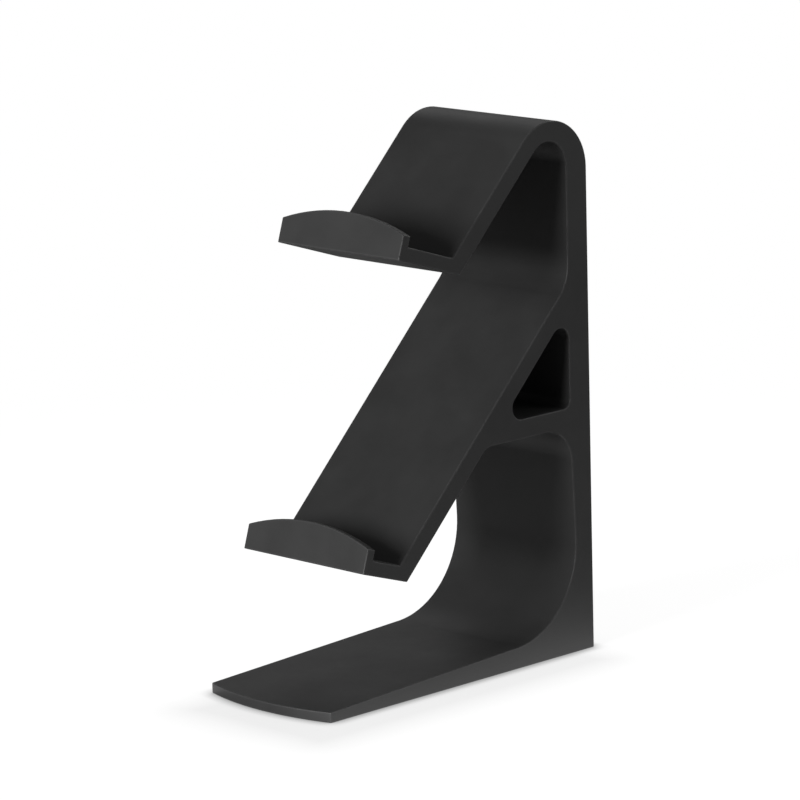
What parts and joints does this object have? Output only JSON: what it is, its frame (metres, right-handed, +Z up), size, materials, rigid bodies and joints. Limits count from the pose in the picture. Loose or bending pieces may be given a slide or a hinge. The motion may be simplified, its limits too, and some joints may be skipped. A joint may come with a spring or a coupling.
{
  "type": "dual controller stand",
  "caption": "Desk stand with a flat foot, an upright post and sloping rests stacked one over another, each ending in a ledge and an arched lip that keeps a game controller from sliding off.",
  "frame": {"origin": "on the floor, under the middle of the overall depth and width", "axes": "+X across the stand, -Y toward the front where the lips are, +Z up"},
  "size_m": [0.07, 0.159, 0.2256],
  "materials": {
    "body": "fine matte charcoal, faintly grained"
  },
  "bodies": {
    "root": {"stand": "body"}
  },
  "joints": []
}
